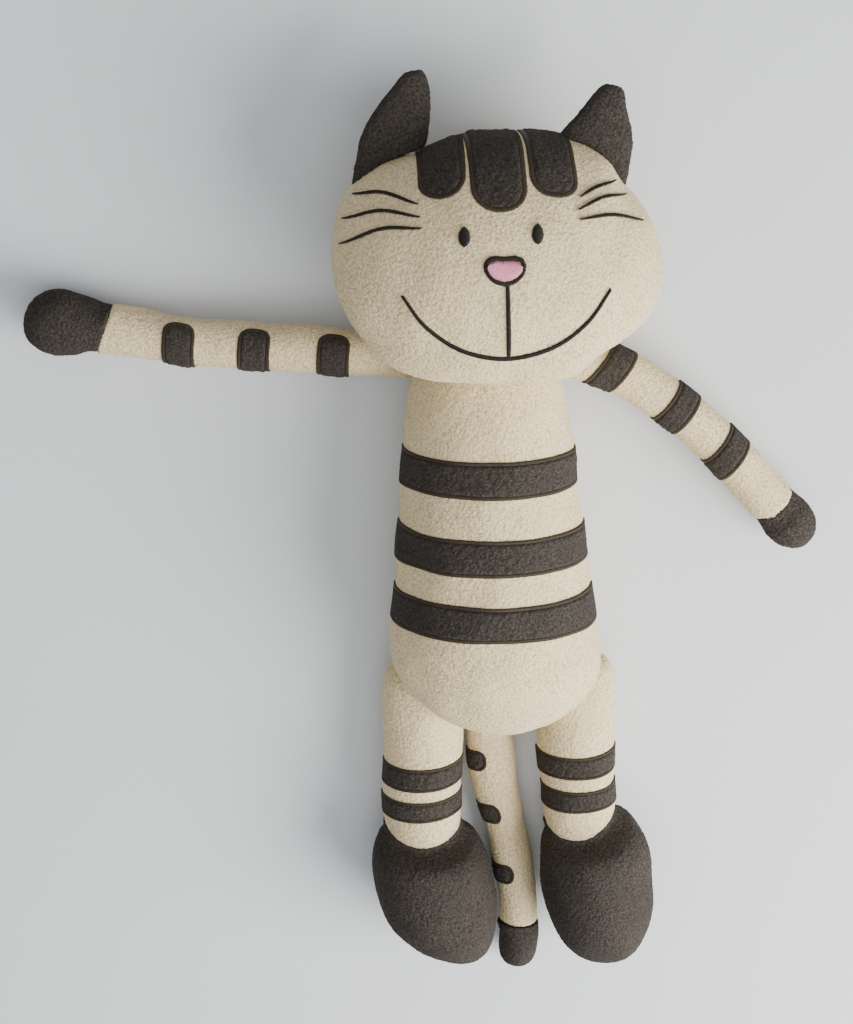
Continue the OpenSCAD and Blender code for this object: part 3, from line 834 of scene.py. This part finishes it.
def satin(name, centres, normals, half_width, thick, rise, slant, seed, closed):
    """Satin stitch: short threads side by side across a line, each a small arched tube.
    half_width may be one number or one for each point."""
    n = len(centres)
    if closed:
        ahead = np.roll(centres, -1, axis=0) - np.roll(centres, 1, axis=0)
    else:
        ahead = np.gradient(centres, axis=0)
    ahead /= np.linalg.norm(ahead, axis=1)[:, None] + 1e-12
    side = np.cross(normals, ahead)
    side /= np.linalg.norm(side, axis=1)[:, None] + 1e-12
    rng = np.random.default_rng(seed)
    half = np.broadcast_to(half_width, (n,)) * (1 + rng.uniform(-0.07, 0.07, n))
    rows, sides = 6, 5
    t = np.linspace(-1, 1, rows)
    arch = np.sqrt(np.clip(1 - t ** 4, 0, 1))
    lean = slant * thick * rng.uniform(0.8, 1.2, n)
    spine = (centres[:, None, :] + side[:, None, :] * (t[None, :] * half[:, None])[..., None]
             + ahead[:, None, :] * (t[None, :] * lean[:, None])[..., None]
             + normals[:, None, :] * (rise * (arch[None, :] - 0.35))[..., None])
    ring = np.arange(sides) * 2 * math.pi / sides
    r = thick * (0.55 + 0.45 * arch)
    tube = (spine[:, :, None, :]
            + ahead[:, None, None, :] * (np.cos(ring)[None, None, :] * r[None, :, None])[..., None]
            + normals[:, None, None, :] * (np.sin(ring)[None, None, :] * r[None, :, None] * 0.8)[..., None])
    verts = tube.reshape(-1, 3)
    base = np.arange(n) * rows * sides
    k, m = np.meshgrid(np.arange(rows - 1), np.arange(sides), indexing="ij")
    a = k * sides + m
    b = k * sides + (m + 1) % sides
    quads = np.stack([a, b, b + sides, a + sides], axis=-1).reshape(-1, 4)
    faces = [tuple(f) for f in (quads[None] + base[:, None, None]).reshape(-1, 4)]
    for s in base:
        faces.append(tuple(int(s) + sides - 1 - m for m in range(sides)))
        faces.append(tuple(int(s) + (rows - 1) * sides + m for m in range(sides)))
    return make_object(name, verts, faces)


def on_skin(place, pts, lift):
    """The points' places on a skin, raised by lift, and the normals there."""
    hits = [place.at(*p) for p in pts]
    points = np.array([h[0] for h in hits])
    normals = np.array([h[1] for h in hits])
    return points + normals * lift, normals


def pillow(name, place, to_place, half_long, half_wide, r0, r1, high, step, seed, fade):
    """A padded terry patch that lies on a skin, its edge turned down to the cloth.
    It thins towards its ends by fade."""
    turn_down = 1.7    # mm over which the edge turns down
    relief = 0.00022    # the terry's
    rows = max(6, int(2 * half_long / step))
    cols = max(6, int(2 * half_wide / step))
    verts, lifts = [], []
    if rows < 60:    # a short patch gets more rows in its round ends
        along = -half_long * np.cos(np.linspace(0, math.pi, rows + 1))
    else:
        along = np.linspace(-half_long, half_long, rows + 1)
    for s in along * 0.998:    # the end rows keep a little width
        r = r0 if s < 0 else r1
        past = max(0.0, abs(s) - (half_long - r))
        w = half_wide - r + math.sqrt(max(r * r - past * past, 0.0))
        for t in np.linspace(-1, 1, cols + 1):
            verts.append((s, t * w))
            edge = min(half_long - abs(s) + 0.02, (1 - abs(t)) * w)
            e = min(edge / turn_down, 1)
            thin = 1 - fade * float(smoothstep(0.65, 1, abs(s) / half_long))
            lifts.append(math.sqrt(1 - (1 - e) ** 2) * thin)
    base, normals = on_skin(place, [to_place(s, t) for s, t in verts], 0)
    lifts = np.array(lifts)
    rng = np.random.default_rng(seed)
    rough = np.clip(rng.normal(size=len(base)) * 0.5, -1, 1.3) * relief * np.clip(lifts * 1.5, 0.2, 1)
    waves = slow_waves(base, seed, 0.0022) * 0.00008
    top = base + normals * (lifts * high + rough + waves - 0.0001)[:, None]
    under = base - normals * (0.0004 + 0.0008 * lifts)[:, None]
    count, w = len(base), cols + 1
    faces = []
    for i in range(rows):
        for j in range(cols):
            a = i * w + j
            faces.append((a, a + 1, a + w + 1, a + w))
            faces.append((count + a, count + a + w, count + a + w + 1, count + a + 1))
    rim = (list(range(cols)) + [i * w + cols for i in range(rows)]
           + [rows * w + cols - j for j in range(cols)] + [(rows - i) * w for i in range(rows)])
    for a, b in zip(rim, rim[1:] + rim[:1]):
        faces.append((b, a, count + a, count + b))
    return make_object(name, np.concatenate([top, under]), faces)


def joined(name, objs):
    """Several objects as one, their meshes one after the other."""
    verts, faces = [], []
    for o in objs:
        start = len(verts)
        verts += [tuple(v.co) for v in o.data.vertices]
        faces += [tuple(start + i for i in p.vertices) for p in o.data.polygons]
        bpy.data.objects.remove(o)
    return make_object(name, verts, faces)


THREAD = 0.00026    # half the thickness of a stitch


def applique(name, place, to_place, half_long, half_wide, r0, r1, seed, border=1.5, high=0.0012, fade=0.5):
    """A terry pillow and its satin border. Returns both."""
    inset, middle = border * 0.75, border / 2
    cloth = pillow(name + "_p", place, to_place, half_long - inset, half_wide - inset,
                   max(r0 - inset, 0.6), max(r1 - inset, 0.6), high, step=0.62, seed=seed, fade=fade)
    line = outline(half_long - middle, half_wide - middle,
                   max(r0 - middle, 0.5), max(r1 - middle, 0.5), step=0.42)
    pts, normals = on_skin(place, [to_place(*p) for p in line], lift=0.00028)
    edge = satin(name + "_b", pts, normals, middle * 1.1 * MM, THREAD, rise=0.0003, slant=0.9,
                 seed=seed + 1, closed=True)
    return cloth, edge


def parts_of(node):
    """The separate solids of a CAD node, each as its points."""
    bm = bmesh.new()
    bm.from_mesh(frame["nodes"][node].data)
    bmesh.ops.remove_doubles(bm, verts=bm.verts, dist=SAME_POINT)
    parts = [np.array([v.co for v in part], float) for part in islands(bm)]
    bm.free()
    return parts


def extent(place, pts):
    """Where points lie along a limb: the middle and the half length, in mm."""
    s = (pts - place.origin) @ place.way / MM
    return (s.max() + s.min()) / 2, (s.max() - s.min()) / 2


def finish_applique(pairs, name, node, attach):
    """Joins the patches and borders that stand for one CAD node, and attaches them with attach(obj)."""
    cloth, edge = pairs[0] if len(pairs) == 1 else [joined(name, objs) for objs in zip(*pairs)]
    cloth.name, edge.name = name, name + "_edge"
    dressed(cloth, DARK)
    dressed(edge, BORDER)
    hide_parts(node)
    attach(cloth)
    attach(edge)


def rider(body):
    return lambda o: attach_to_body(o, body)


DEGREE = math.pi / 180

# below, k is the mm round a limb for each degree of angle, from the limb's radius in mm

# chest bands
body_place = Round("torso", (0, 0, 0), (0, 1, 0))
for i, level in enumerate(("upper", "middle", "lower")):
    node = f"chest_band_{level}"
    mid, _ = extent(body_place, node_points(node))
    low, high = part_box(node)
    k = (high.x - low.x) / 2 / MM * DEGREE
    pair = applique(node, body_place, lambda p, q: (mid + q, 90 + p / k),
                    half_long=93 * k, half_wide=7.2, r0=1.2, r1=1.2, seed=200 + i)
    finish_applique([pair], f"{level}_chest_band", node, rider("torso"))

# arm patches, from angle a0 to a1 round the arm, with corner radii r0 and r1 there
for side, a0, a1, r0, r1, half in (("left", -8, 145, 3.5, 5.2, 6.4), ("right", -12, 196, 2.2, 1.5, 5.7)):
    place = Round(f"arm_{side}", joint_at(f"shoulder_{side}_swing"), LIMB[f"arm_{side}"])
    node = f"arm_{side}_patches"
    k = 10.2 * DEGREE
    a_mid, a_half = (a0 + a1) / 2, (a1 - a0) / 2
    pairs = []
    for i, mid in enumerate(sorted(extent(place, part)[0] for part in parts_of(node))):
        pairs.append(applique(f"{node}_{i}", place, lambda p, q: (mid + q, a_mid + p / k),
                              a_half * k, half, r0, r1, seed=300 + 10 * i, high=0.0011))
    finish_applique(pairs, f"{side}_arm_patches", node, rider(f"arm_{side}"))

# leg bands, which sag towards the feet in front, by slant more at one side
for side, slant in (("left", -1.05), ("right", 0.1)):
    place = Round(f"leg_{side}", joint_at(f"hip_{side}_lift"), LIMB[f"leg_{side}"])
    k = 15.8 * DEGREE

    def sagging(p, q):
        a = 90 + p / k
        sag = -1.4 + 2.45 * math.sin(a * DEGREE) + slant * math.cos(a * DEGREE)
        return mid + q + sag, a

    for i, level in enumerate(("upper", "lower")):
        node = f"leg_{side}_band_{level}"
        mid, half = extent(place, node_points(node))
        pair = applique(node, place, sagging, half_long=94 * k, half_wide=half, r0=1.0, r1=1.0,
                        seed=400 + i, border=1.2, high=0.0009)
        finish_applique([pair], f"{side}_leg_{level}_band", node,
                        lambda o: blend_at(o))

# tail spots, the first further round the tail
place = Round("tail", joint_at("tail_swing"), unit(middle_of("tail_tip_cover") - joint_at("tail_swing")))
k = 9.4 * DEGREE
pairs = []
for i, mid in enumerate(sorted(extent(place, part)[0] for part in parts_of("tail_spots"))):
    turn = 168 if i == 0 else 154
    pairs.append(applique(f"spot_{i}", place, lambda p, q: (mid + q, turn + p / k),
                          half_long=62 * k, half_wide=4.6, r0=4, r1=2,
                          seed=500 + i, border=1.1, high=0.0009))
finish_applique(pairs, "tail_spot_patches", "tail_spots", rider("tail"))

# forehead patches, running over the crown from angle a0: x, half width, a0 and how far the patch leans
crown = Crown("head", 110, 40)
k = 43 * DEGREE
CROWN_END = 108
for i, (name, x, wide, a0, lean) in enumerate((("left", -21.2, 8.7, 32, 0.9), ("middle", -1.4, 10.3, 23, 2.2),
                                               ("right", 18.7, 8.9, 32, 2.2))):
    a_mid, half = (a0 + CROWN_END) / 2, (CROWN_END - a0) / 2 * k
    pair = applique(f"brow_{name}", crown, lambda p, q: (x + q - lean * p / half, a_mid + p / k),
                    half, wide, r0=wide - 0.2, r1=6, seed=600 + 10 * i, border=2.0, high=0.0013, fade=0.3)
    finish_applique([pair], f"{name}_forehead_patch", f"forehead_patch_{name}", rider("head"))


# ---------------------------------------------------------------- face

face = Front("head")


def embroidered(name, node, lines, width, seed, taper=0.0, closed=False):
    """Black stitched lines on the face, width mm wide and thinner towards their ends by taper."""
    objs = []
    for i, pts in enumerate(lines):
        line = resampled(pts, step=0.4)
        if closed:
            line = line[:-1]
        at, normals = on_skin(face, line, lift=0.0004)
        t = np.linspace(-1, 1, len(at))
        half = width / 2 * MM * (1 - taper * np.abs(t) ** 3)
        objs.append(satin(f"{name}_{i}", at, normals, half, THREAD, rise=0.00055, slant=1.6,
                          seed=seed + i, closed=closed))
    obj = joined(name, objs)
    dressed(obj, BLACK)
    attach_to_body(obj, "head")
    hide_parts(node)


def filled(name, node, centre, edges, count, upright, finish, seed, rise):
    """A shape on the face filled with satin stitch. edges gives its two edges at t from -1 to 1 along it."""
    low, high, run = edges(np.linspace(-0.985, 0.985, count))
    across = (low + high) / 2
    x, y = (across, run) if upright else (run, across)
    at, normals = on_skin(face, np.stack([centre[0] + x, centre[1] + y], axis=1), lift=0.0005)
    obj = satin(name, at, normals, (high - low) / 2 * MM, thick=0.00028, rise=rise, slant=0.0,
                seed=seed, closed=False)
    dressed(obj, finish)
    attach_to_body(obj, "head")
    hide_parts(node)


MOUTH = smooth_line([(-35, 96), (-26, 84.5), (-13, 76), (3, 73), (19, 76.5), (32, 85.5), (41, 98)])
LIP = smooth_line([(3.2, 101.5), (3.7, 88), (4.1, 74)])
WHISKERS = {"left": (((-53.2, 130), (-42, 131.6), (-29.5, 128.6)),
                     ((-57.2, 121.3), (-43, 125.6), (-28.5, 124.3)),
                     ((-58.2, 112), (-43, 119.4), (-28, 120.5))),
            "right": (((29.7, 131.2), (36.5, 134.2), (43.7, 135.2)),
                      ((28.9, 126.9), (39, 130.6), (47.9, 129.8)),
                      ((29.5, 123.6), (42, 124.2), (54.2, 120.4)))}
embroidered("mouth_stitching", "mouth_thread", [MOUTH], width=1.9, seed=700, taper=0.35)
embroidered("lip_stitching", "philtrum_thread", [LIP], width=1.8, seed=710, taper=0.2)
for side, seed in (("left", 720), ("right", 730)):
    embroidered(f"{side}_whisker_stitching", f"whiskers_{side}", [smooth_line(w) for w in WHISKERS[side]],
                width=1.5, seed=seed, taper=0.6)

NOSE = (2.25, 106.7)
NOSE_SHAPE = smooth_line([(6.2, 0.8), (5.6, 2.6), (3.4, 3.6), (0, 3.4), (-3.5, 3.6), (-5.7, 2.6), (-6.2, 0.6),
                          (-5.1, -1.8), (-3, -3.7), (0.2, -4.5), (3.1, -3.6), (5.3, -1.6), (6.2, 0.8)])


def nose_edges(t):
    """The nose's lower and upper edge, and the place across it, at t."""
    turn = NOSE_SHAPE[:, 0].argmin()
    upper, lower = NOSE_SHAPE[turn::-1], NOSE_SHAPE[turn:]
    x = t * 6.15
    return np.interp(x, *lower.T), np.interp(x, *upper.T), x


def eye_edges(t):
    """An upright oval's left and right edge, and the place up it, at t."""
    half = 2.3 * np.sqrt(1 - t ** 2)
    return -half, half, 3.4 * t


filled("nose_satin", "nose_pad", NOSE, nose_edges, count=34, upright=False, finish=PINK,
       seed=740, rise=0.0011)
embroidered("nose_border_stitching", "nose_outline", [NOSE_SHAPE * 1.12 + np.array(NOSE)],
            width=1.9, seed=750, closed=True)
for side, eye in (("left", (-12.5, 118)), ("right", (14, 119))):
    filled(f"{side}_eye_stitching", f"eye_{side}", eye, eye_edges, count=17, upright=True, finish=BLACK,
           seed=760, rise=0.0008)

# the seam closed by hand in the middle of the back
mid, half = extent(body_place, node_points("closing_seam_thread"))
BACK = 270    # the angle round the body
pts, normals = on_skin(body_place, [(mid + half * v, BACK) for v in np.linspace(-0.95, 0.95, 6)],
                       lift=0.0001)
stitches = satin("closing_seam_stitches", pts, normals, half_width=0.0021, thick=0.0004, rise=0.0005,
                 slant=2.0, seed=770, closed=False)
dressed(stitches, SEWING)
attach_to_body(stitches, "torso")
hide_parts("closing_seam_thread")
